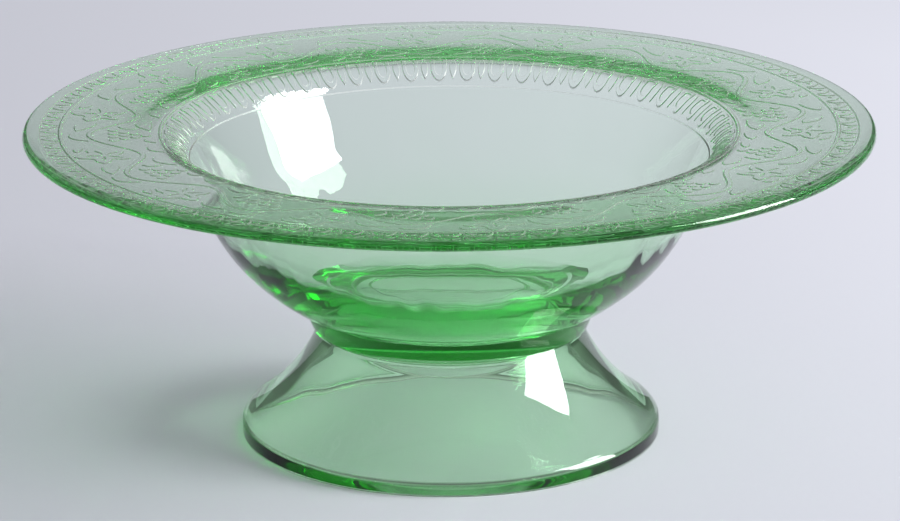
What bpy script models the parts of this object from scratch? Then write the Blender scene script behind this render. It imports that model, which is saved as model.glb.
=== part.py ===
"""A footed grapefruit bowl in pale green pressed glass.

Three pieces of glass that were joined while hot: a bowl with a wide, nearly flat rim, a collar under
the bowl, and a hollow foot that flares out to the table. Each piece is turned about one upright axis.
Metres, +Z up. The origin is the centre of the base, on the surface that the bowl stands on.
"""

import math

import bmesh
import bpy

# The hair gap that stands for each hot joint between two pieces
JOINT_GAP = 0.0003

# The foot: a hollow flaring stand, open below, with a wide hole in its top
FOOT_HEIGHT = 0.0233
BASE_RADIUS = 0.0446
BASE_EDGE_ROUNDING = 0.0023
BASE_RING_WIDTH = 0.0014
BASE_RING_HEIGHT = 0.0008
FLARE_EDGE_ANGLE = math.radians(57)
FLARE_HOLLOW = 0.0019
FOOT_TOP_RADIUS = 0.0280
FOOT_TOP_WIDTH = 0.0101
FOOT_LIP_THICKNESS = 0.0008
FOOT_WALL = 0.0030
SHOULDER_WALL = 0.0038
SHOULDER_DROP = 0.0024

# The collar: a dished disc whose edge shows as a band between the bowl and the foot
COLLAR_CORE = 0.0010
COLLAR_LEDGE = 0.0014
COLLAR_FLARE = 0.0019

# The bowl: a round dish with a thin wall and a wide rim
BOWL_HEIGHT = 0.0427
BOWL_SEAT_WIDTH = 0.0062
FLOOR_THICKNESS = 0.0037
FLOOR_INSET = 0.0032
WALL_THICKNESS = 0.0024
WALL_BULGE = 0.0070
MOUTH_RADIUS = 0.0522
MOUTH_ROUNDING = 0.0068
RIM_RADIUS = 0.0890
RIM_THICKNESS = 0.0022
RIM_DIP = 0.0013

# The finish of the glass: what light does in it, and its colour where it is thin and where it is thick
REFRACTIVE_INDEX = 1.5
CLEARNESS = 0.9
POLISHED_ROUGHNESS = 0.04
ETCHED_ROUGHNESS = 0.05
FOOT_COLOUR = (0.60, 0.82, 0.66)
COLLAR_COLOUR = (0.22, 0.56, 0.28)
BOWL_COLOUR = (0.64, 0.84, 0.70)

# How finely the round shapes are drawn
TURN_STEPS = 64
WALL_STEPS = 12
FLARE_STEPS = 8
CORNER_STEPS = 5
EDGE_STEPS = 6
POLE_MERGE = 0.00001
SMOOTH_ANGLE = math.radians(30)


def bulged_middle(start, end, bulge):
    """The middle of a straight run that goes down, moved away from the axis by the bulge."""
    run = end[0] - start[0]
    fall = start[1] - end[1]
    length = math.hypot(run, fall)
    middle_radius = (start[0] + end[0]) / 2 + bulge * fall / length
    middle_height = (start[1] + end[1]) / 2 + bulge * run / length
    return middle_radius, middle_height


def circle_through(first, second, third):
    """The centre and radius of the circle through three points."""
    (ax, az), (bx, bz), (cx, cz) = first, second, third
    twice_area = 2 * (ax * (bz - cz) + bx * (cz - az) + cx * (az - bz))
    a_square, b_square, c_square = ax * ax + az * az, bx * bx + bz * bz, cx * cx + cz * cz
    centre_x = (a_square * (bz - cz) + b_square * (cz - az) + c_square * (az - bz)) / twice_area
    centre_z = (a_square * (cx - bx) + b_square * (ax - cx) + c_square * (bx - ax)) / twice_area
    return (centre_x, centre_z), math.hypot(ax - centre_x, az - centre_z)


def angle_about(centre, point):
    """The direction of a point seen from a centre."""
    return math.atan2(point[1] - centre[1], point[0] - centre[0])


def ellipse_points(centre, across, up, start_angle, end_angle, steps):
    """Points along part of an upright ellipse, both ends included."""
    points = []
    for step in range(steps + 1):
        angle = start_angle + (end_angle - start_angle) * step / steps
        points.append((centre[0] + across * math.cos(angle), centre[1] + up * math.sin(angle)))
    return points


def arc_through(start, middle, end, steps):
    """Points along the arc that starts, bends and ends at three given points."""
    centre, radius = circle_through(start, middle, end)
    start_angle = angle_about(centre, start)
    sweep = math.remainder(angle_about(centre, end) - start_angle, math.tau)
    return ellipse_points(centre, radius, radius, start_angle, start_angle + sweep, steps)


def bowl_wall():
    """The three points that the outside of the bowl's wall runs through, from the mouth down."""
    top = (MOUTH_RADIUS + WALL_THICKNESS, BOWL_HEIGHT - RIM_DIP - MOUTH_ROUNDING)
    bottom = (FOOT_TOP_RADIUS + COLLAR_LEDGE - BOWL_SEAT_WIDTH, 0.0)
    return top, bulged_middle(top, bottom, WALL_BULGE), bottom


def bowl_outline():
    """From the middle of the floor, up the inside, over the rim, and down the outside."""
    wall_top, wall_middle, wall_bottom = bowl_wall()
    floor_edge = (wall_bottom[0] - FLOOR_INSET, FLOOR_THICKNESS)
    inner_middle = bulged_middle(wall_top, wall_bottom, WALL_BULGE - WALL_THICKNESS)
    mouth = (MOUTH_RADIUS, wall_top[1])
    rounding_centre = (MOUTH_RADIUS + MOUTH_ROUNDING, wall_top[1])
    edge_radius = RIM_THICKNESS / 2
    edge_centre = (RIM_RADIUS - edge_radius, BOWL_HEIGHT - edge_radius)
    quarter = math.pi / 2

    outline = [(0.0, FLOOR_THICKNESS)]
    outline += arc_through(floor_edge, inner_middle, mouth, WALL_STEPS)
    outline += ellipse_points(
        rounding_centre, MOUTH_ROUNDING, MOUTH_ROUNDING, math.pi, quarter, CORNER_STEPS)[1:]
    outline += ellipse_points(edge_centre, edge_radius, edge_radius, quarter, -quarter, EDGE_STEPS)
    outline += ellipse_points(
        rounding_centre, MOUTH_ROUNDING - WALL_THICKNESS, MOUTH_ROUNDING - RIM_THICKNESS,
        quarter, math.pi, CORNER_STEPS)
    outline += arc_through(wall_top, wall_middle, wall_bottom, WALL_STEPS)[1:]
    outline.append((0.0, 0.0))
    return outline


def collar_outline():
    """From the middle of the dished top, out along the bowl's wall, and down the collar's edge."""
    wall_top, wall_middle, wall_bottom = bowl_wall()
    bowl_lift = COLLAR_CORE + JOINT_GAP
    bottom_radius = FOOT_TOP_RADIUS + COLLAR_LEDGE
    centre, radius = circle_through(wall_top, wall_middle, wall_bottom)
    seat_radius = radius + JOINT_GAP
    seat_start = angle_about(centre, wall_bottom)
    seat_end = -math.acos((bottom_radius + COLLAR_FLARE - centre[0]) / seat_radius)
    seat_centre = (centre[0], centre[1] + bowl_lift)

    outline = [(0.0, COLLAR_CORE)]
    outline += ellipse_points(seat_centre, seat_radius, seat_radius, seat_start, seat_end, CORNER_STEPS)
    outline += [(bottom_radius, 0.0), (0.0, 0.0)]
    return outline


def foot_outline():
    """A closed loop: across the top, down the flare, round the base edge, and up the inside."""
    hole_radius = FOOT_TOP_RADIUS - FOOT_TOP_WIDTH
    lip_height = FOOT_HEIGHT - FOOT_LIP_THICKNESS
    edge_centre = (BASE_RADIUS - BASE_EDGE_ROUNDING, BASE_EDGE_ROUNDING)
    edge = ellipse_points(
        edge_centre, BASE_EDGE_ROUNDING, BASE_EDGE_ROUNDING, FLARE_EDGE_ANGLE, -math.pi / 2, EDGE_STEPS)
    flare_top = (FOOT_TOP_RADIUS, FOOT_HEIGHT)
    flare_middle = bulged_middle(flare_top, edge[0], -FLARE_HOLLOW)
    ring_inner = edge_centre[0] - BASE_RING_WIDTH
    shoulder = (FOOT_TOP_RADIUS - SHOULDER_WALL, lip_height - SHOULDER_DROP)
    inner_middle = bulged_middle(flare_top, edge[0], -FLARE_HOLLOW - FOOT_WALL)
    inside = arc_through((ring_inner, BASE_RING_HEIGHT), inner_middle, shoulder, FLARE_STEPS)
    shoulder_points = ellipse_points(
        (hole_radius, shoulder[1]), shoulder[0] - hole_radius, SHOULDER_DROP, 0.0, math.pi / 2, CORNER_STEPS)

    outline = [(hole_radius, FOOT_HEIGHT)]
    outline += arc_through(flare_top, flare_middle, edge[0], FLARE_STEPS)
    outline += edge[1:]
    outline.append((ring_inner, 0.0))
    outline += inside
    outline += shoulder_points[1:]
    return outline


def glass(name, colour, roughness):
    """Clear green pressed glass."""
    material = bpy.data.materials.new(name)
    material.use_nodes = True
    shader = material.node_tree.nodes["Principled BSDF"]
    shader.inputs["Base Color"].default_value = (*colour, 1.0)
    shader.inputs["Roughness"].default_value = roughness
    shader.inputs["Metallic"].default_value = 0.0
    shader.inputs["IOR"].default_value = REFRACTIVE_INDEX
    shader.inputs["Transmission Weight"].default_value = CLEARNESS
    return material


def turned_piece(name, outline, closed, height, material, parent):
    """Turn an outline once about the upright axis into one closed solid, set at its height."""
    shape = bmesh.new()
    corners = [shape.verts.new((radius, 0.0, level)) for radius, level in outline]
    sides = [shape.edges.new(pair) for pair in zip(corners, corners[1:])]
    if closed:
        sides.append(shape.edges.new((corners[-1], corners[0])))
    bmesh.ops.spin(
        shape, geom=corners + sides, axis=(0.0, 0.0, 1.0), angle=math.tau, steps=TURN_STEPS,
        use_merge=True)
    bmesh.ops.remove_doubles(shape, verts=shape.verts, dist=POLE_MERGE)
    bmesh.ops.recalc_face_normals(shape, faces=shape.faces)
    mesh = bpy.data.meshes.new(name)
    shape.to_mesh(mesh)
    shape.free()
    mesh.shade_smooth()
    mesh.set_sharp_from_angle(angle=SMOOTH_ANGLE)
    mesh.materials.append(material)
    piece = bpy.data.objects.new(name, mesh)
    piece.location.z = height
    piece.parent = parent
    bpy.context.collection.objects.link(piece)


for leftover in list(bpy.data.objects):
    bpy.data.objects.remove(leftover)

stand = bpy.data.objects.new("footed_bowl", None)
bpy.context.collection.objects.link(stand)

collar_height = FOOT_HEIGHT + JOINT_GAP
bowl_height = collar_height + COLLAR_CORE + JOINT_GAP

foot_glass = glass("foot_glass", FOOT_COLOUR, POLISHED_ROUGHNESS)
collar_glass = glass("collar_glass", COLLAR_COLOUR, POLISHED_ROUGHNESS)
bowl_glass = glass("bowl_glass", BOWL_COLOUR, ETCHED_ROUGHNESS)

turned_piece("foot", foot_outline(), True, 0.0, foot_glass, stand)
turned_piece("collar", collar_outline(), False, collar_height, collar_glass, stand)
turned_piece("bowl", bowl_outline(), False, bowl_height, bowl_glass, stand)
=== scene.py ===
import math

import bpy
from mathutils import Matrix, Vector, noise
from mathutils.geometry import delaunay_2d_cdt


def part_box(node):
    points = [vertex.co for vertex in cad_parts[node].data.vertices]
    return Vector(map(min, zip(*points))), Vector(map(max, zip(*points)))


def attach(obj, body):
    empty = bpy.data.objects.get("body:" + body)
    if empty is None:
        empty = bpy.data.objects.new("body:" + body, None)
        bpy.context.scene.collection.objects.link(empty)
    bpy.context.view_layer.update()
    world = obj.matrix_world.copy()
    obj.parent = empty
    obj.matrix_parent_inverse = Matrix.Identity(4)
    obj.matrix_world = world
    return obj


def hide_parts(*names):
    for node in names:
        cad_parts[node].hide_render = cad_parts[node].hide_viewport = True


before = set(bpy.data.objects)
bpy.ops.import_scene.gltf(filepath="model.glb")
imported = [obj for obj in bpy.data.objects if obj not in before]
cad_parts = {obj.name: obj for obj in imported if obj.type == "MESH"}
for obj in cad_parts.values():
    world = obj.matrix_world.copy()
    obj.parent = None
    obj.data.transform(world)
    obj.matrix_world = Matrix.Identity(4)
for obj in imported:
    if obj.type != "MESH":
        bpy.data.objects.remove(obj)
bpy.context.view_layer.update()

# The foot: a hollow stand that flares out to the table, open below, with a wide hole in its top.
# It was pressed in pale green soda-lime glass and fire polished, and it is joined hot to the collar.
MM = 0.001
TURN_STEPS = 224
CREASE_ANGLE = math.radians(30)
MERGE_DISTANCE = 0.002 * MM
JOINT_OVERLAP = 0.02 * MM
# Keeps rounded numbers inside the box of the solids
HAIR = 0.0005 * MM

collar_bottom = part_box("collar")[0].z
base_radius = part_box("foot")[1].x
foot_top = collar_bottom + JOINT_OVERLAP
foot_top_radius = 27.9 * MM
flare_foot = (43.6 * MM, 4.2 * MM)
flare_hollow = 1.9 * MM
flare_start = 0.2 * MM
base_rounding = 2.3 * MM
base_rounding_start = 50
base_edge_height = 2.2 * MM
base_corner = 0.15 * MM
ring_inside = 43.4 * MM
ring_height = 0.15 * MM
hollow_shoulder = (24.2 * MM, 20.1 * MM)
hollow_sag = 1.5 * MM
shoulder_drop = 2.4 * MM
hole_radius = 17.7 * MM
hole_rounding = 0.6 * MM
foot_ripple_length = 9 * MM
inside_ripple = 0.08 * MM
inside_low_fade = (3 * MM, 8 * MM)
inside_high_fade = (19.5 * MM, 17 * MM)
outside_ripple = 0.03 * MM
outside_low_fade = (5 * MM, 8 * MM)
outside_high_fade = (22 * MM, 19 * MM)


def arc(centre, across, up, start_angle, end_angle, steps):
    """Points along part of an upright ellipse, both ends included; angles in degrees."""
    points = []
    for step in range(steps + 1):
        angle = math.radians(start_angle + (end_angle - start_angle) * step / steps)
        points.append((centre[0] + across * math.cos(angle), centre[1] + up * math.sin(angle)))
    return points


def hollow_arc(start, end, sag, steps):
    """Points along an arc that goes down from start to end and sags towards the axis."""
    run, fall = end[0] - start[0], start[1] - end[1]
    chord = math.hypot(run, fall)
    radius = chord * chord / (8 * sag) + sag / 2
    reach = radius - sag
    centre = (
        (start[0] + end[0]) / 2 + reach * fall / chord,
        (start[1] + end[1]) / 2 + reach * run / chord)
    half_angle = math.degrees(math.asin(chord / 2 / radius))
    middle_angle = math.degrees(math.atan2(-run, -fall))
    return arc(centre, radius, radius, middle_angle - half_angle, middle_angle + half_angle, steps)


def turned(name, outline):
    """Draw an outline point by point in the XZ plane and turn it once about the upright axis."""
    bpy.ops.object.select_all(action="DESELECT")
    bpy.ops.mesh.primitive_plane_add(size=MM, location=(0, 0, 0))
    piece = bpy.context.object
    piece.name = name
    piece.data.name = name
    bpy.ops.object.mode_set(mode="EDIT")
    bpy.ops.mesh.select_all(action="SELECT")
    bpy.ops.mesh.merge(type="CENTER")
    bpy.ops.transform.translate(value=(outline[0][0], 0, outline[0][1]))
    for here, there in zip(outline, outline[1:]):
        move = (there[0] - here[0], 0, there[1] - here[1])
        bpy.ops.mesh.extrude_region_move(TRANSFORM_OT_translate={"value": move})
    bpy.ops.mesh.select_all(action="SELECT")
    bpy.ops.mesh.spin(steps=TURN_STEPS, angle=math.tau, center=(0, 0, 0), axis=(0, 0, 1))
    bpy.ops.mesh.select_all(action="SELECT")
    bpy.ops.mesh.remove_doubles(threshold=MERGE_DISTANCE)
    bpy.ops.mesh.normals_make_consistent(inside=False)
    bpy.ops.object.mode_set(mode="OBJECT")
    bpy.ops.object.shade_smooth_by_angle(angle=CREASE_ANGLE)
    return piece


def mark_joint(piece, faces):
    """Mark the faces that are fused to the next piece of glass, where light goes straight through."""
    joint = piece.data.attributes.new("hot_joint", "FLOAT", "FACE")
    for face in faces:
        joint.data[face.index].value = 1.0


def radius_of(place):
    return math.hypot(place[0], place[1])


def fade(value, none, full):
    """How far a value has come from none of an effect to all of it, from 0 to 1."""
    return min(1.0, max(0.0, (value - none) / (full - none)))


def ripple(piece, length, depth_of):
    """Give a pressed surface its slight unevenness; depth_of tells how deep it is at a place."""
    moves = []
    for corner in piece.data.vertices:
        moves.append(corner.normal * depth_of(corner.co, corner.normal) * noise.noise(corner.co / length))
    for corner, move in zip(piece.data.vertices, moves):
        corner.co += move
    piece.data.update()


outline = [(hole_radius - hole_rounding, foot_top), (foot_top_radius, foot_top)]
outline += hollow_arc((foot_top_radius, collar_bottom - flare_start), flare_foot, flare_hollow, steps=24)
base_centre = (base_radius - base_rounding, base_edge_height)
outline += arc(base_centre, base_rounding, base_rounding, base_rounding_start, 0, steps=8)
corner_centre = (base_radius - base_corner, base_corner + HAIR)
outline += arc(corner_centre, base_corner, base_corner, 0, -90, steps=4)
outline.append((ring_inside, HAIR))
hollow = hollow_arc(hollow_shoulder, (ring_inside, ring_height), hollow_sag, steps=20)
outline += reversed(hollow)
shoulder_centre = (hole_radius, hollow_shoulder[1])
outline += arc(shoulder_centre, hollow_shoulder[0] - hole_radius, shoulder_drop, 0, 90, steps=8)[1:]
hole_centre = (hole_radius - hole_rounding, foot_top - hole_rounding)
outline += arc(hole_centre, hole_rounding, hole_rounding, 0, 90, steps=5)

foot = turned("foot_glass_piece", outline)


def foot_ripple(place, normal):
    """The inside of the foot is more uneven than the outside; the joint and the base are even."""
    if normal.z < 0:
        return inside_ripple * fade(place.z, *inside_low_fade) * fade(place.z, *inside_high_fade)
    return outside_ripple * fade(place.z, *outside_low_fade) * fade(place.z, *outside_high_fade)


ripple(foot, foot_ripple_length, foot_ripple)
# The normal of a level face is at least this upright
LEVEL = 0.99
mark_joint(foot, [
    face for face in foot.data.polygons
    if face.normal.z > LEVEL and face.center.z > collar_bottom])


def add_node(tree, kind, settings=None, links=None):
    """Add a node, set its sockets or properties by name, and link its inputs from other sockets."""
    node = tree.nodes.new(kind)
    for name, value in (settings or {}).items():
        if name in node.inputs:
            node.inputs[name].default_value = value
        else:
            setattr(node, name, value)
    for name, source in (links or {}).items():
        tree.links.new(source, node.inputs[name])
    return node


def linear(colour):
    """An sRGB hex colour as linear red, green, blue and alpha."""
    channels = [int(colour[place:place + 2], 16) / 255 for place in (1, 3, 5)]
    curve = [c / 12.92 if c <= 0.04045 else ((c + 0.055) / 1.055) ** 2.4 for c in channels]
    return (*curve, 1.0)


# Pale green soda-lime glass, pressed and fire polished. The colour lies in the depth of the glass, so that
# thin walls look pale and edges look dark green. A hot joint bends no light, so its faces have no step in
# the refractive index. The slopes of the etched border are frosted, which gives it pale outlines.
GLASS_INDEX = 1.5
JOINT_INDEX = 1.0
GLASS_TINT = "#69ef85"
TINT_PER_METRE = 72
FROST_ROUGHNESS = 0.3
FROST_CLEARNESS = 0.85
green_glass = bpy.data.materials.new("pale_green_soda_lime_glass")
green_glass.use_nodes = True
tree = green_glass.node_tree
shader = tree.nodes["Principled BSDF"]
shader.inputs["Base Color"].default_value = linear("#ffffff")
shader.inputs["Roughness"].default_value = 0.0
shader.inputs["Transmission Weight"].default_value = 1.0
hot_joint = add_node(tree, "ShaderNodeAttribute", {"attribute_name": "hot_joint"})
index = add_node(
    tree, "ShaderNodeMapRange", {"To Min": GLASS_INDEX, "To Max": JOINT_INDEX},
    {"Value": hot_joint.outputs["Fac"]})
shader.inputs["IOR"].default_value = GLASS_INDEX
tree.links.new(index.outputs[0], shader.inputs["IOR"])
frosted = add_node(tree, "ShaderNodeAttribute", {"attribute_name": "frosted"})
frost_roughness = add_node(
    tree, "ShaderNodeMapRange", {"To Min": 0.0, "To Max": FROST_ROUGHNESS},
    {"Value": frosted.outputs["Fac"]})
tree.links.new(frost_roughness.outputs[0], shader.inputs["Roughness"])
clearness = add_node(
    tree, "ShaderNodeMapRange", {"To Min": 1.0, "To Max": FROST_CLEARNESS},
    {"Value": frosted.outputs["Fac"]})
tree.links.new(clearness.outputs[0], shader.inputs["Transmission Weight"])
depth_colour = add_node(
    tree, "ShaderNodeVolumeAbsorption", {"Color": linear(GLASS_TINT), "Density": TINT_PER_METRE})
tree.links.new(depth_colour.outputs[0], tree.nodes["Material Output"].inputs["Volume"])

foot.data.materials.append(green_glass)
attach(foot, "root")
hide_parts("foot")

# The collar: a dished disc of the same glass between the bowl and the foot, with a sharp lower edge.
# Only its edge shows, as a dark green band, and its underside is the roof of the hollow foot.
wall_centre = (12.47 * MM, 66.2 * MM)
wall_radius = 42.66 * MM
collar_edge_radius = 29.45 * MM
collar_top_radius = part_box("collar")[1].x
bowl_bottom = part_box("bowl")[0].z

seat_radius = wall_radius - JOINT_OVERLAP
seat_bottom = bowl_bottom + JOINT_OVERLAP
seat_edge_angle = -math.degrees(math.acos((collar_top_radius - wall_centre[0]) / seat_radius))
seat_floor_angle = math.degrees(math.asin((seat_bottom - wall_centre[1]) / seat_radius))
underside = (0.0, hole_radius - hole_rounding, foot_top_radius, collar_edge_radius)
outline = [(radius, collar_bottom) for radius in underside]
outline += arc(wall_centre, seat_radius, seat_radius, seat_edge_angle, seat_floor_angle, steps=12)
outline.append((0.0, seat_bottom))

collar = turned("collar_glass_piece", outline)
# The faces of the seat look up at least this much
SEAT_TILT = 0.2
joint_faces = []
for face in collar.data.polygons:
    on_bowl = face.normal.z > SEAT_TILT
    over_ring = hole_radius - hole_rounding < radius_of(face.center) < foot_top_radius
    on_foot = face.normal.z < -LEVEL and over_ring
    if on_bowl or on_foot:
        joint_faces.append(face)
mark_joint(collar, joint_faces)
collar.data.materials.append(green_glass)
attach(collar, "root")
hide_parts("collar")

# The bowl: a round dish whose wall turns over into a wide, nearly flat rim with a round edge.
# It was pressed in the same glass and stands on the collar, to which it was joined hot.
rim_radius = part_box("bowl")[1].x - HAIR
rim_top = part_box("bowl")[1].z
mouth_slope = 65
mouth_rounding = 8 * MM
rim_start_height = 66.45 * MM
rim_thickness = 2.2 * MM
throat_thickness = 2.0 * MM
rim_depths = ((83.2 * MM, 2.45 * MM), (78.5 * MM, 2.6 * MM), (69.0 * MM, 2.6 * MM), (65.5 * MM, 2.33 * MM))
floor_height = 28.4 * MM
floor_dish = 0.2 * MM
tight_bend_start = (49.159 * MM, 49.643 * MM)
tight_bend_slope = 46.5
tight_bend_radius = 28.8 * MM
low_bend_radius = 45.6 * MM
floor_bend_radius = 14 * MM
# The etched band's two edges, in millimetres from the axis, as all of its drawing is
band_inside = 53.9
band_outside = 86.2
wall_ripple_length = 8 * MM
wall_ripple = 0.07 * MM
wall_high_fade = (59 * MM, 53 * MM)
wall_seat_fade = (collar_top_radius + 0.5 * MM, collar_top_radius + 3 * MM)


def bend(start, radius, start_slope, end_slope, steps):
    """Points down an inner wall that bends from one slope to a flatter one; the start is left out."""
    first = math.radians(start_slope)
    points = []
    for step in range(1, steps + 1):
        slope = math.radians(start_slope + (end_slope - start_slope) * step / steps)
        points.append((
            start[0] + radius * (math.sin(slope) - math.sin(first)),
            start[1] - radius * (math.cos(slope) - math.cos(first))))
    return points


def along(start, end, shares):
    """Points on a straight run between two ends."""
    return [(
        start[0] + (end[0] - start[0]) * share,
        start[1] + (end[1] - start[1]) * share) for share in shares]


mouth_angle = math.radians(mouth_slope)
mouth_height = rim_start_height - mouth_rounding * (1 - math.cos(mouth_angle))
mouth_radius = tight_bend_start[0] + (mouth_height - tight_bend_start[1]) / math.tan(mouth_angle)
mouth = (mouth_radius, mouth_height)
rounding_centre = (
    mouth_radius + mouth_rounding * math.sin(mouth_angle),
    mouth_height - mouth_rounding * math.cos(mouth_angle))
edge_radius = rim_thickness / 2
edge_centre = (rim_radius - edge_radius, rim_top - edge_radius)

# The inside of the bowl, from below the etched border down to the middle of the floor
wall_share = (mouth_radius - band_inside * MM) / (mouth_radius - tight_bend_start[0])
inside = along(mouth, tight_bend_start, (wall_share, 0.35, 0.55, 0.75, 1))
inside += bend(tight_bend_start, tight_bend_radius, mouth_slope, tight_bend_slope, steps=12)
low_start = inside[-1]
low_cosine = math.cos(math.radians(tight_bend_slope))
floor_cosine = (
    (low_start[1] + low_bend_radius * low_cosine - floor_bend_radius - floor_height)
    / (low_bend_radius - floor_bend_radius))
floor_slope = math.degrees(math.acos(floor_cosine))
inside += bend(low_start, low_bend_radius, tight_bend_slope, floor_slope, steps=16)
inside += bend(inside[-1], floor_bend_radius, floor_slope, 0.0, steps=6)
floor_edge = inside[-1]
for share in (0.75, 0.5, 0.25, 0.0):
    inside.append((floor_edge[0] * share, floor_edge[1] - floor_dish * (1 - share * share)))

# Over the mouth and the rim, down the outside and across the bottom
under_rounding = mouth_rounding - throat_thickness
outline = list(reversed(inside))
rim_start = (rounding_centre[0], rim_start_height)
band_outside_share = (band_outside * MM - rim_start[0]) / (edge_centre[0] - rim_start[0])
outline += along(rim_start, (edge_centre[0], rim_top), [band_outside_share])
outline += arc(edge_centre, edge_radius, edge_radius, 90, -90, steps=16)
for radius, depth in rim_depths:
    share = (radius - rim_start[0]) / (edge_centre[0] - rim_start[0])
    outline.append((radius, rim_start[1] + (rim_top - rim_start[1]) * share - depth))
outline += arc(rounding_centre, under_rounding, under_rounding, 90, 90 + mouth_slope, steps=12)
edge_angle = -math.degrees(math.acos((collar_top_radius - wall_centre[0]) / wall_radius))
bottom_angle = math.degrees(math.asin((bowl_bottom - wall_centre[1]) / wall_radius))
outline += arc(wall_centre, wall_radius, wall_radius, mouth_slope - 90, edge_angle, steps=28)
outline += arc(wall_centre, wall_radius, wall_radius, edge_angle, bottom_angle, steps=12)[1:]
outline.append((0.0, bowl_bottom))

bowl = turned("bowl_glass_piece", outline)


def bowl_ripple(place, normal):
    """The wall is uneven inside and out; the rim, the mouth and the joint are even."""
    depth = wall_ripple * fade(place.z, *wall_high_fade)
    if normal.z < 0:
        depth *= fade(radius_of(place), *wall_seat_fade)
    return depth


ripple(bowl, wall_ripple_length, bowl_ripple)

# Chill marks: faint upright streaks in the wall, where the hot glass met the mould and the plunger
STREAK_DEPTH = 0.06 * MM
STREAK_WIDTH = 2.5 * MM
STREAK_LENGTH = 14 * MM
streak_radius = 45 * MM
streak_high_fade = (59 * MM, 55 * MM)
streak_low_fade = (35 * MM, 44 * MM)
for corner in bowl.data.vertices:
    place = corner.co
    share = fade(place.z, *streak_high_fade) * fade(place.z, *streak_low_fade)
    if share > 0:
        round_wall = streak_radius / STREAK_WIDTH / radius_of(place)
        sample = Vector((place.x * round_wall, place.y * round_wall, place.z / STREAK_LENGTH))
        corner.co = place + corner.normal * STREAK_DEPTH * share * noise.noise(sample)
bowl.data.update()

# The etched border on the rim's top: a vine with leaves and berries between two narrow borders, raised by a
# seventh of a millimetre on a sunk ground. It was rolled through a resist and etched, so one sector repeats.
SECTORS = 14
RELIEF_DEPTH = 0.14
EDGE_HALF_WIDTH = 0.16
STEEP_HALF_WIDTH = 0.07
INNER_HALF_WIDTH = 0.1
RELIEF_CREASE_ANGLE = math.radians(12)
MOTIF_GAP = 0.9
DRAWING_RADIUS = 70.8
sector_half = math.pi * DRAWING_RADIUS / SECTORS
inner_border = (54.4, 60.1)
vine_band = (60.7, 80.9)
outer_border = (81.5, 85.4)
vine_swing = 4.4
vine_width = 0.95
point_spacing = 0.24

drawn_points = []
drawn_depths = []
drawn_lines = []
fields = []


def draw(points, depth, closed=True):
    """Draw a line of the relief, in millimetres along the sector and from the axis, at one depth."""
    first = len(drawn_points)
    drawn_points.extend(points)
    drawn_depths.extend([depth] * len(points))
    drawn_lines.extend((place, place + 1) for place in range(first, first + len(points) - 1))
    if closed:
        drawn_lines.append((first + len(points) - 1, first))


def grown(outline, amount):
    """A closed outline, drawn anticlockwise, moved outwards all round."""
    moved = []
    for place, point in enumerate(outline):
        before, after = outline[place - 1], outline[(place + 1) % len(outline)]
        run, rise = after[0] - before[0], after[1] - before[1]
        length = math.hypot(run, rise)
        moved.append((point[0] + amount * rise / length, point[1] - amount * run / length))
    return moved


def etch(outline, inside, outside, half_width=EDGE_HALF_WIDTH):
    """Draw a closed outline as a sloping edge between two depths."""
    draw(grown(outline, half_width), outside)
    draw(grown(outline, -half_width), inside)
    fields.append((outline, inside, max(math.dist(outline[0], point) for point in outline)))


def encloses(outline, point):
    """Whether a closed outline goes round a point."""
    odd = False
    for place, (x, y) in enumerate(outline):
        last_x, last_y = outline[place - 1]
        if (y > point[1]) != (last_y > point[1]):
            if point[0] < x + (last_x - x) * (point[1] - y) / (last_y - y):
                odd = not odd
    return odd


def depth_at(point):
    """The depth of the relief at a point away from its edges."""
    ground = any(low < point[1] < high for low, high in (inner_border, vine_band, outer_border))
    depth = RELIEF_DEPTH if ground else 0.0
    for outline, inside, reach in fields:
        if math.dist(outline[0], point) < reach and encloses(outline, point):
            depth = inside
    return depth


def placed(shape, along_sector, radius, turn):
    """A shape set at its place in the sector, turned by an angle in degrees."""
    cosine, sine = math.cos(math.radians(turn)), math.sin(math.radians(turn))
    spread = DRAWING_RADIUS / radius
    return [(
        along_sector + spread * (x * cosine - y * sine),
        radius + x * sine + y * cosine) for x, y in shape]


def leaf(length, width, bow=0.0, steps=7):
    """A pointed leaf along the first axis, with its middle line bowed sideways."""
    lower, upper = [], []
    for step in range(steps + 1):
        share = step / steps
        middle = bow * math.sin(math.pi * share)
        half = width / 2 * math.sin(math.pi * share ** 0.85) ** 0.9 if 0 < step < steps else 0.0
        lower.append((length * (share - 0.5), middle - half))
        upper.append((length * (share - 0.5), middle + half))
    return lower + upper[-2:0:-1]


def berry(radius, sides=12):
    return [(
        radius * math.cos(math.tau * side / sides),
        radius * math.sin(math.tau * side / sides)) for side in range(sides)]


def vine_leaf(size, points=70):
    """A leaf with five lobes and a toothed edge, its stalk at the lower end."""
    shape = []
    for step in range(points):
        angle = math.tau * step / points
        lobes = 0.74 + 0.2 * math.cos(5 * (angle - math.pi / 2)) + 0.07 * math.sin(angle)
        teeth = 0.025 * math.cos(20 * angle)
        shape.append((size * (lobes + teeth) * math.cos(angle), size * (lobes + teeth) * math.sin(angle)))
    return shape


def tongue(width, height, steps=8):
    """An upright tongue with a round lower end and a flat top with round corners."""
    half = width / 2
    corner = width / 6
    shape = []
    for step in range(steps + 1):
        angle = math.pi + math.pi * step / steps
        shape.append((half * math.cos(angle), half - height / 2 + half * math.sin(angle)))
    shape.append((half, 0.0))
    for side, start in ((1, 0), (-1, 90)):
        for turn in (0, 45, 90):
            angle = math.radians(start + turn)
            shape.append((
                side * (half - corner) + corner * math.cos(angle),
                height / 2 - corner + corner * math.sin(angle)))
    shape.append((-half, 0.0))
    return shape


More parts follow.
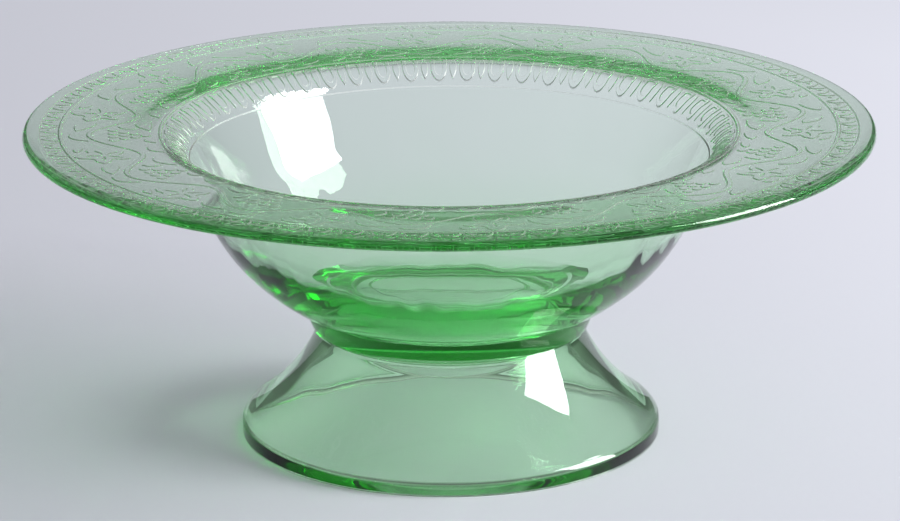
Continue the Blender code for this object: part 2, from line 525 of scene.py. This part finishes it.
def curl(width, turns, start_radius, end_radius, hand, steps=26):
    """A tendril that winds out from its middle; hand is 1 or -1."""
    left, right = [], []
    for step in range(steps + 1):
        share = step / steps
        angle = hand * math.tau * turns * share
        radius = start_radius + (end_radius - start_radius) * share
        half = width / 2 * (1 - 0.3 * share)
        left.append(((radius + half) * math.cos(angle), (radius + half) * math.sin(angle)))
        right.append(((radius - half) * math.cos(angle), (radius - half) * math.sin(angle)))
    shape = left + right[::-1]
    return shape if hand > 0 else shape[::-1]


def is_clear(outline, gap):
    """Whether an outline keeps clear of the vine, the rings, the sector's ends and every other motif."""
    reach = max(math.dist(outline[0], point) for point in outline)
    for along_sector, radius in outline:
        if abs(along_sector) > sector_half - gap / 2 or not vine_band[0] + gap < radius < vine_band[1] - gap:
            return False
        if abs(radius - vine_middle(along_sector)) < (vine_width / 2 + gap) * vine_stretch(along_sector):
            return False
    for other, _, other_reach in fields:
        if math.dist(outline[0], other[0]) < reach + other_reach + gap:
            if encloses(other, outline[0]) or encloses(outline, other[0]):
                return False
            if any(math.dist(point, place) < gap for point in outline for place in other):
                return False
    return True


def vine_middle(along_sector):
    return DRAWING_RADIUS + vine_swing * math.sin(math.pi * along_sector / sector_half)


def vine_slope(along_sector):
    return vine_swing * math.pi / sector_half * math.cos(math.pi * along_sector / sector_half)


def vine_stretch(along_sector):
    """How much longer a step across the vine is when it is taken straight out from the axis."""
    return math.hypot(1, vine_slope(along_sector))


# The rings between the borders, and the vine, run from one end of the sector to the other
steps_across = [
    sector_half * (2 * step / (TURN_STEPS / SECTORS) - 1) for step in range(TURN_STEPS // SECTORS + 1)]
draw([(along_sector, band_inside) for along_sector in steps_across], 0.0, False)
draw([(along_sector, band_outside) for along_sector in steps_across], 0.0, False)
for low, high in (inner_border, vine_band, outer_border):
    for level, side in ((low, 1), (high, -1)):
        half_width = STEEP_HALF_WIDTH if level == inner_border[0] else EDGE_HALF_WIDTH
        for move, depth in ((-side, 0.0), (side, RELIEF_DEPTH)):
            draw([(x, level + move * half_width) for x in steps_across], depth, False)
VINE_STEPS = 48
fine_steps = [sector_half * (2 * step / VINE_STEPS - 1) for step in range(VINE_STEPS + 1)]
for side in (1, -1):
    for grow, depth in ((EDGE_HALF_WIDTH, RELIEF_DEPTH), (-EDGE_HALF_WIDTH, 0.0)):
        reach = side * (vine_width / 2 + grow)
        draw([(x, vine_middle(x) + reach * vine_stretch(x)) for x in fine_steps], depth, False)

# A vine leaf in one bay with five sunk veins, and a bunch of berries in the other
bay = sector_half / 2
leaf_size = 6.2
leaf_place = (-bay, 74.3)
vein = leaf(3.2, 0.55)
vein_reach = 2.35
etch(placed(vine_leaf(leaf_size), *leaf_place, 0), 0.0, RELIEF_DEPTH)
for turn in (-54, 18, 90, 162, 234):
    angle = math.radians(turn)
    centre = (leaf_place[0] + vein_reach * math.cos(angle), leaf_place[1] + vein_reach * math.sin(angle))
    etch(placed(vein, *centre, turn), RELIEF_DEPTH, 0.0)
berry_radius = 1.05
berry_step = 2 * berry_radius + 0.5
berry_row_step = berry_step * 0.866
bunch_top = 70.2
for row, count in enumerate((4, 3, 2, 1)):
    for place in range(count):
        centre = (bay + (place - (count - 1) / 2) * berry_step, bunch_top - row * berry_row_step)
        etch(placed(berry(berry_radius), *centre, 0), 0.0, RELIEF_DEPTH)

# Tendrils, then leaves along the vine, then leaves wherever there is room for one
leaf_stalk = (leaf(3.4, 0.75), -bay, 69.3, 90)
bunch_stalk = (leaf(2.6, 0.75), bay, 73.0, 90)
motifs = [leaf_stalk, bunch_stalk]
tendril = {"width": 0.8, "turns": 1.2, "start_radius": 0.9, "end_radius": 2.7}
tendril_reach = 5.0
second_reach = 5.3
second_shift = 1.5
second_turn = -70
for side in (1, -1):
    for share in (0.05, 0.5, 0.95, -0.45):
        x = sector_half * share
        middle = vine_middle(x)
        motifs.append((curl(hand=side, **tendril), x, middle - side * tendril_reach, 90 * side))
        second = curl(hand=-side, **tendril)
        motifs.append((second, x + second_shift, middle + side * second_reach, second_turn * side))
SIDE_LEAF_STEPS = 23
side_leaf_bow = 0.6
side_leaf_reach = 3.2
side_leaf_lean = 50
for step in range(1 - SIDE_LEAF_STEPS, SIDE_LEAF_STEPS):
    x = sector_half * step / SIDE_LEAF_STEPS
    lean = math.degrees(math.atan(vine_slope(x)))
    for side in (1, -1):
        side_leaf = leaf(6.4, 2.5, side_leaf_bow * side, steps=9)
        radius = vine_middle(x) + side * side_leaf_reach
        motifs.append((side_leaf, x, radius, lean + side_leaf_lean * side))
FILLER_ROWS = 30
FILLER_STEPS = 48
filler_low = 61.4
filler_row_step = 0.66
for size in (2.3, 1.9, 1.5, 1.15):
    filler = leaf(3.6 * size, 1.5 * size, 0.3 * size)
    for row in range(FILLER_ROWS):
        for step in range(FILLER_STEPS):
            x = sector_half * (2 * (step + 0.5 * (row % 2)) / FILLER_STEPS - 1)
            turn = 40 * math.sin(2.1 * x) + 65 * math.cos(1.7 * row)
            motifs.append((filler, x, filler_low + filler_row_step * row, turn))
for shape, along_sector, radius, turn in motifs:
    outline = placed(shape, along_sector, radius, turn)
    if is_clear(outline, MOTIF_GAP):
        etch(outline, 0.0, RELIEF_DEPTH)

# The outer border: pairs of slanted leaves with a dot between
OUTER_PAIRS = 6
outer_start = 0.4
outer_slant = 64
outer_bow = 0.15
outer_dot = berry(0.42, sides=8)
pair_step = 2 * sector_half / OUTER_PAIRS
outer_middle = sum(outer_border) / 2
for step in range(OUTER_PAIRS):
    x = pair_step * (step + outer_start) - sector_half
    for side in (1, -1):
        outer_leaf = leaf(3.6, 1.25, outer_bow * side)
        etch(placed(outer_leaf, x + side, outer_middle, outer_slant * side), 0.0, RELIEF_DEPTH)
    etch(placed(outer_dot, x + pair_step / 2, outer_middle, 0), 0.0, RELIEF_DEPTH)

# The inner border: tongues with sunk middles, and darts between them
INNER_PAIRS = 4
inner_start = 0.36
inner_tongue = tongue(3.5, 4.7)
tongue_hollow = tongue(1.9, 3.2)
dart = leaf(4.2, 1.5)
pair_step = 2 * sector_half / INNER_PAIRS
inner_middle = sum(inner_border) / 2
for step in range(INNER_PAIRS):
    x = pair_step * (step + inner_start) - sector_half
    etch(placed(inner_tongue, x, inner_middle, 0), 0.0, RELIEF_DEPTH, INNER_HALF_WIDTH)
    etch(placed(tongue_hollow, x, inner_middle, 0), RELIEF_DEPTH, 0.0, INNER_HALF_WIDTH)
    etch(placed(dart, x + pair_step / 2, inner_middle, 90), 0.0, RELIEF_DEPTH, INNER_HALF_WIDTH)

# Loose points keep the etched ground round where the mouth turns over, and match at the sector's two ends
LOOSE_ROWS = 17
LOOSE_STEPS = 40
for row in range(1, LOOSE_ROWS):
    radius = (rounding_centre[0] - mouth_rounding * math.sin(mouth_angle * (1 - row / LOOSE_ROWS))) / MM
    for step in range(LOOSE_STEPS + 1):
        point = (sector_half * (2 * step / LOOSE_STEPS - 1), radius)
        at_end = step in (0, LOOSE_STEPS)
        if at_end or min(math.dist(point, other) for other in drawn_points) > point_spacing:
            drawn_points.append(point)
            drawn_depths.append(depth_at(point))


def on_rim(angle, radius, depth):
    """A point on the rim's top at an angle and a radius, sunk by a depth square to the surface."""
    if radius < mouth_radius:
        fall = (mouth_radius - radius) * math.tan(mouth_angle)
        height = mouth_height - fall - depth * math.cos(mouth_angle)
        radius += depth * math.sin(mouth_angle)
    elif radius < rim_start[0]:
        lean = math.acos((rounding_centre[0] - radius) / mouth_rounding)
        radius = rounding_centre[0] - (mouth_rounding - depth) * math.cos(lean)
        height = rounding_centre[1] + (mouth_rounding - depth) * math.sin(lean)
    else:
        share = (radius - rim_start[0]) / (edge_centre[0] - rim_start[0])
        height = rim_start[1] + (rim_top - rim_start[1]) * share - depth
    return radius * math.cos(angle), radius * math.sin(angle), height


SAME_POINT = 0.00001
corners, _, faces, sources, _, _ = delaunay_2d_cdt(
    [Vector(point) for point in drawn_points], drawn_lines, [], 0, SAME_POINT)
places = []
for corner, source in zip(corners, sources):
    depth = drawn_depths[source[0]] if source else depth_at(corner)
    places.append((corner.x / DRAWING_RADIUS, corner.y * MM, depth * MM))
border_points = []
border_faces = []
for sector in range(SECTORS):
    first = len(border_points)
    turn = math.tau * sector / SECTORS
    border_points += [on_rim(turn + angle, radius, depth) for angle, radius, depth in places]
    border_faces += [[first + corner for corner in face] for face in faces]
border = bpy.data.objects.new("etched_border", bpy.data.meshes.new("etched_border"))
border.data.from_pydata(border_points, [], border_faces)
frost_marks = border.data.attributes.new("frosted", "FLOAT", "FACE")
frost = []
for face in faces:
    depths = [places[corner][2] for corner in face]
    frost.append(float(max(depths) > min(depths)))
frost_marks.data.foreach_set("value", frost * SECTORS)
bpy.context.collection.objects.link(border)

# The plain band on the rim's top gives way to the etched one
bpy.ops.object.select_all(action="DESELECT")
bowl.select_set(True)
bpy.context.view_layer.objects.active = bowl
bpy.ops.object.mode_set(mode="EDIT")
bpy.ops.mesh.select_mode(type="FACE")
bpy.ops.mesh.select_all(action="DESELECT")
bpy.ops.object.mode_set(mode="OBJECT")
for face in bowl.data.polygons:
    face.select = face.normal.z > 0 and band_inside * MM < radius_of(face.center) < band_outside * MM
bpy.ops.object.mode_set(mode="EDIT")
bpy.ops.mesh.delete(type="FACE")
bpy.ops.mesh.select_mode(type="VERT")
bpy.ops.object.mode_set(mode="OBJECT")
border.select_set(True)
bpy.ops.object.join()
bpy.ops.object.mode_set(mode="EDIT")
bpy.ops.mesh.select_all(action="SELECT")
bpy.ops.mesh.remove_doubles(threshold=MERGE_DISTANCE)
bpy.ops.mesh.normals_make_consistent(inside=False)
bpy.ops.object.mode_set(mode="OBJECT")
bpy.ops.object.shade_smooth_by_angle(angle=RELIEF_CREASE_ANGLE)

mark_joint(bowl, [
    face for face in bowl.data.polygons
    if face.normal.z < 0 and radius_of(face.center) < collar_top_radius])
bowl.data.materials.append(green_glass)
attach(bowl, "root")
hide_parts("bowl")

# The floor: a plain pale sweep that the bowl stands on. Painted light, an emission, makes it a little
# brighter to the eye than the lamps make it, also in and through the glass, and more so towards the softbox;
# it keeps the shadow.
FLOOR_SIZE = 8.0
painted_light_edges = (-0.1, 0.45)
painted_light_strengths = (0.09, 0.25)
bpy.ops.object.select_all(action="DESELECT")
bpy.ops.mesh.primitive_plane_add(size=FLOOR_SIZE, location=(0, 0, 0))
floor = bpy.context.object
floor.name = "floor"
pale_sweep = bpy.data.materials.new("pale_sweep")
pale_sweep.use_nodes = True
tree = pale_sweep.node_tree
shader = tree.nodes["Principled BSDF"]
shader.inputs["Base Color"].default_value = linear("#b4b5bd")
shader.inputs["Roughness"].default_value = 0.8
shader.inputs["Specular IOR Level"].default_value = 0.1
shader.inputs["Emission Color"].default_value = linear("#e9e9f4")
ray = add_node(tree, "ShaderNodeLightPath")
seen = add_node(tree, "ShaderNodeMath", {"operation": "MAXIMUM"})
tree.links.new(ray.outputs["Is Camera Ray"], seen.inputs[0])
tree.links.new(ray.outputs["Is Glossy Ray"], seen.inputs[1])
seen_through = add_node(tree, "ShaderNodeMath", {"operation": "MAXIMUM"})
tree.links.new(seen.outputs[0], seen_through.inputs[0])
tree.links.new(ray.outputs["Is Transmission Ray"], seen_through.inputs[1])
# Painted light: the floor's emission grows towards the softbox's side, as the lamp's own falloff would.
place = add_node(tree, "ShaderNodeTexCoord")
across = add_node(tree, "ShaderNodeSeparateXYZ", links={"Vector": place.outputs["Object"]})
towards_lamp = add_node(tree, "ShaderNodeMath", {"operation": "ADD"})
tree.links.new(across.outputs["X"], towards_lamp.inputs[0])
tree.links.new(across.outputs["Y"], towards_lamp.inputs[1])
painted_light_falloff = add_node(
    tree, "ShaderNodeMapRange",
    {"From Min": painted_light_edges[0], "From Max": painted_light_edges[1],
     "To Min": painted_light_strengths[0], "To Max": painted_light_strengths[1]},
    {"Value": towards_lamp.outputs[0]})
painted_floor_light = add_node(tree, "ShaderNodeMath", {"operation": "MULTIPLY"})
tree.links.new(seen_through.outputs[0], painted_floor_light.inputs[0])
tree.links.new(painted_light_falloff.outputs[0], painted_floor_light.inputs[1])
tree.links.new(painted_floor_light.outputs[0], shader.inputs["Emission Strength"])
floor.data.materials.append(pale_sweep)

# The light: one large low softbox at the right, and a soft room that is darker towards the horizon.
# The softbox gives the glass its bright patches and the floor its shadow at the left.
room_edges = (0.14, 0.5)
room_strengths = (0.12, 0.52)
world = bpy.data.worlds.new("studio")
bpy.context.scene.world = world
world.use_nodes = True
tree = world.node_tree
direction = add_node(tree, "ShaderNodeTexCoord")
parts = add_node(tree, "ShaderNodeSeparateXYZ", links={"Vector": direction.outputs["Generated"]})
strength = add_node(
    tree, "ShaderNodeMapRange",
    {"From Min": room_edges[0], "From Max": room_edges[1],
     "To Min": room_strengths[0], "To Max": room_strengths[1]},
    {"Value": parts.outputs["Z"]})
tree.links.new(strength.outputs[0], tree.nodes["Background"].inputs["Strength"])
tree.nodes["Background"].inputs["Color"].default_value = linear("#f9fbff")

softbox = bpy.data.lights.new("softbox", "AREA")
softbox.shape = "RECTANGLE"
softbox.size = 0.65
softbox.size_y = 0.75
softbox.energy = 30
softbox_place = bpy.data.objects.new("softbox", softbox)
bpy.context.collection.objects.link(softbox_place)
softbox_azimuth = math.radians(-7)
softbox_elevation = math.radians(23)
softbox_distance = 1.2
softbox_target = Vector((0, 0, 0.03))
softbox_place.location = softbox_distance * Vector((
    math.cos(softbox_elevation) * math.cos(softbox_azimuth),
    math.cos(softbox_elevation) * math.sin(softbox_azimuth),
    math.sin(softbox_elevation)))
softbox_aim = softbox_target - softbox_place.location
softbox_place.rotation_euler = softbox_aim.to_track_quat("-Z", "Y").to_euler()

# The camera: a long lens, a little above the rim, at the photograph's angle.
# Its place and turn were fitted to the outlines of the rim and of the base.
FRAME_WIDTH = 900
FOCAL_PIXELS = 3858.3
camera_data = bpy.data.cameras.new("camera")
camera_data.sensor_width = 36
camera_data.lens = FOCAL_PIXELS * camera_data.sensor_width / FRAME_WIDTH
camera_data.clip_start = 0.01
camera = bpy.data.objects.new("camera", camera_data)
bpy.context.collection.objects.link(camera)
camera_place = (0, -0.7811, 0.2758)
camera_pitch = 0.2970
camera_roll = -0.0053
camera.matrix_world = (
    Matrix.Translation(camera_place)
    @ Matrix.Rotation(math.pi / 2 - camera_pitch, 4, "X")
    @ Matrix.Rotation(camera_roll, 4, "Z"))
scene = bpy.context.scene
scene.camera = camera
scene.view_settings.view_transform = "Standard"

# Light runs far inside the glass. What is reflected more than 18 times on its way is left out, because it
# showed the softbox as a neon green patch in the wall, which the real bowl doesn't have.
scene.cycles.max_bounces = 96
scene.cycles.transmission_bounces = 64
scene.cycles.glossy_bounces = 18
scene.cycles.blur_glossy = 0.1
